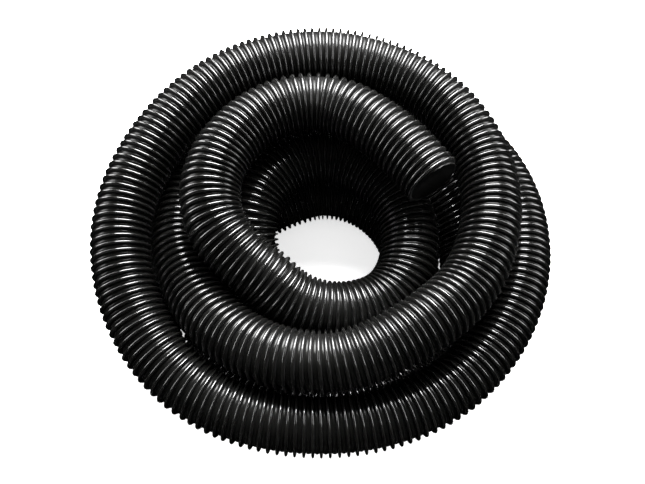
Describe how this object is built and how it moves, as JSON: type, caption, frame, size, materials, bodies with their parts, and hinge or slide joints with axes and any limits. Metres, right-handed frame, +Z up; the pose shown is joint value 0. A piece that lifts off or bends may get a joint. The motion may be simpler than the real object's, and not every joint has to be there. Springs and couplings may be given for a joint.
{
  "type": "vacuum hose",
  "caption": "Corrugated flexible vacuum hose with a spiral rib, lying in a loose coil of about five turns with both ends cut plain.",
  "frame": {"origin": "middle of the coil's footprint, on the surface that it lies on", "axes": "+Z up out of the coil; -Y towards the front, where the lower turns show; the upper free end lies on the right at the back and points to the front right"},
  "size_m": [0.3456, 0.3382, 0.1372],
  "materials": {
    "rib": "semi-gloss black",
    "wall": "satin black"
  },
  "bodies": {
    "coil": {"lower_end_rib": "rib", "turn_1_rib": "rib", "turn_2_rib": "rib", "turn_3_rib": "rib", "turn_4_rib": "rib", "turn_5_rib": "rib", "lower_end_wall": "wall", "turn_1_wall": "wall", "turn_2_wall": "wall", "turn_3_wall": "wall", "turn_4_wall": "wall", "turn_5_wall": "wall"},
    "link_1": {"link_1_rib": "rib", "link_1_wall": "wall"},
    "link_2": {"link_2_rib": "rib", "link_2_wall": "wall"},
    "link_3": {"link_3_rib": "rib", "link_3_wall": "wall"},
    "link_4": {"link_4_rib": "rib", "link_4_wall": "wall"}
  },
  "joints": [
    {"name": "bend_1", "type": "hinge", "parent": "coil", "child": "link_1", "pos_m": [-0.01524, 0.08861, 0.1332], "axis": [0.083, -0.9966, 0], "range_deg": [0, 12], "stiffness_Nm_per_rad": 0.3},
    {"name": "bend_2", "type": "hinge", "parent": "link_1", "child": "link_2", "pos_m": [0.01495, 0.08244, 0.13433], "axis": [-0.4898, -0.8718, 0], "range_deg": [0, 12], "stiffness_Nm_per_rad": 0.3},
    {"name": "bend_3", "type": "hinge", "parent": "link_2", "child": "link_3", "pos_m": [0.04114, 0.06334, 0.13679], "axis": [-0.6491, -0.7607, 0], "range_deg": [0, 12], "stiffness_Nm_per_rad": 0.3},
    {"name": "bend_4", "type": "hinge", "parent": "link_3", "child": "link_4", "pos_m": [0.06151, 0.04225, 0.13719], "axis": [-0.7665, -0.6422, 0], "range_deg": [0, 12], "stiffness_Nm_per_rad": 0.3}
  ]
}
